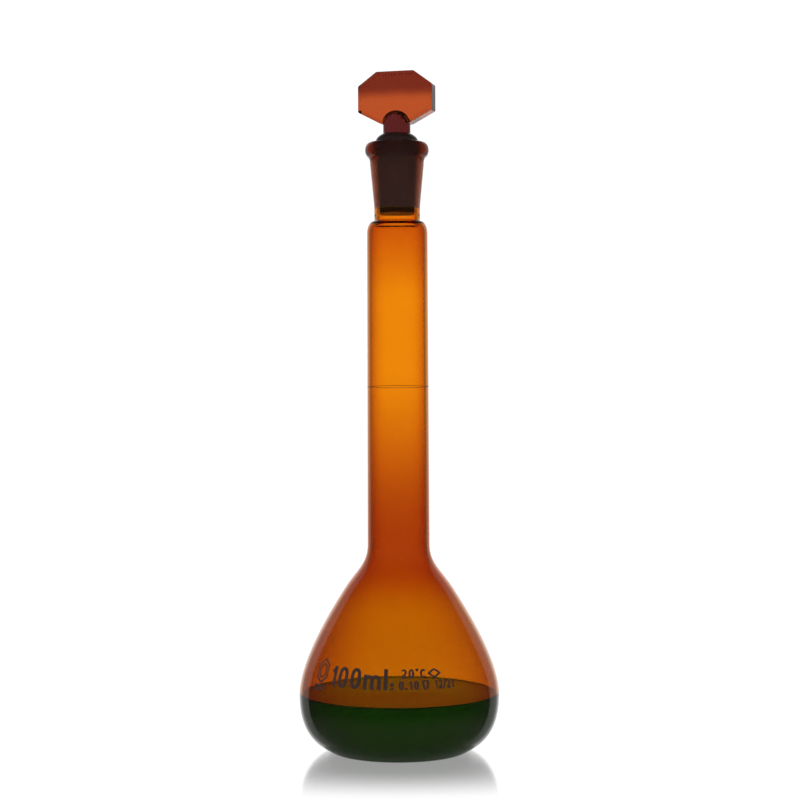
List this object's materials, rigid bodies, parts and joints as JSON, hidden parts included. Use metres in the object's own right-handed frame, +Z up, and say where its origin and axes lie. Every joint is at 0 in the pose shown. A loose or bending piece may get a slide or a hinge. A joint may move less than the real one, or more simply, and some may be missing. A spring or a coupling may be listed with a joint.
{
  "type": "volumetric flask",
  "caption": "Amber volumetric flask: pear-shaped bulb, long tapered neck with a graduation ring, ground socket, lift-out stopper with a flat octagonal grip, and some green test liquid.",
  "frame": {"origin": "on the floor under the middle of the base, on the flask's own axis", "axes": "+Z up along the axis of the neck; -Y is the front, where the capacity marking is and where the flat head of the stopper roughly faces"},
  "size_m": [0.0582, 0.0582, 0.198],
  "materials": {
    "bulb_glass": "polished",
    "neck_glass": "polished",
    "socket_glass": "satin",
    "ring_enamel": "matte",
    "test_liquid": "gloss",
    "plug_glass": "satin",
    "head_glass": "polished"
  },
  "bodies": {
    "flask": {"bulb": "bulb_glass", "neck_tube": "neck_glass", "socket_joint": "socket_glass", "graduation_ring": "ring_enamel", "test_liquid": "test_liquid"},
    "stopper_plug": {"stopper_plug": "plug_glass"},
    "stopper_head": {"stopper_head": "head_glass"}
  },
  "joints": [
    {"name": "stopper_lift", "type": "slide", "parent": "flask", "child": "stopper_plug", "axis": [0, 0, 1], "range_m": [0, 0.025]},
    {"name": "stopper_twist", "type": "hinge", "parent": "stopper_plug", "child": "stopper_head", "pos_m": [0, 0, 0.1773], "axis": [0, 0, 1], "continuous": true}
  ]
}
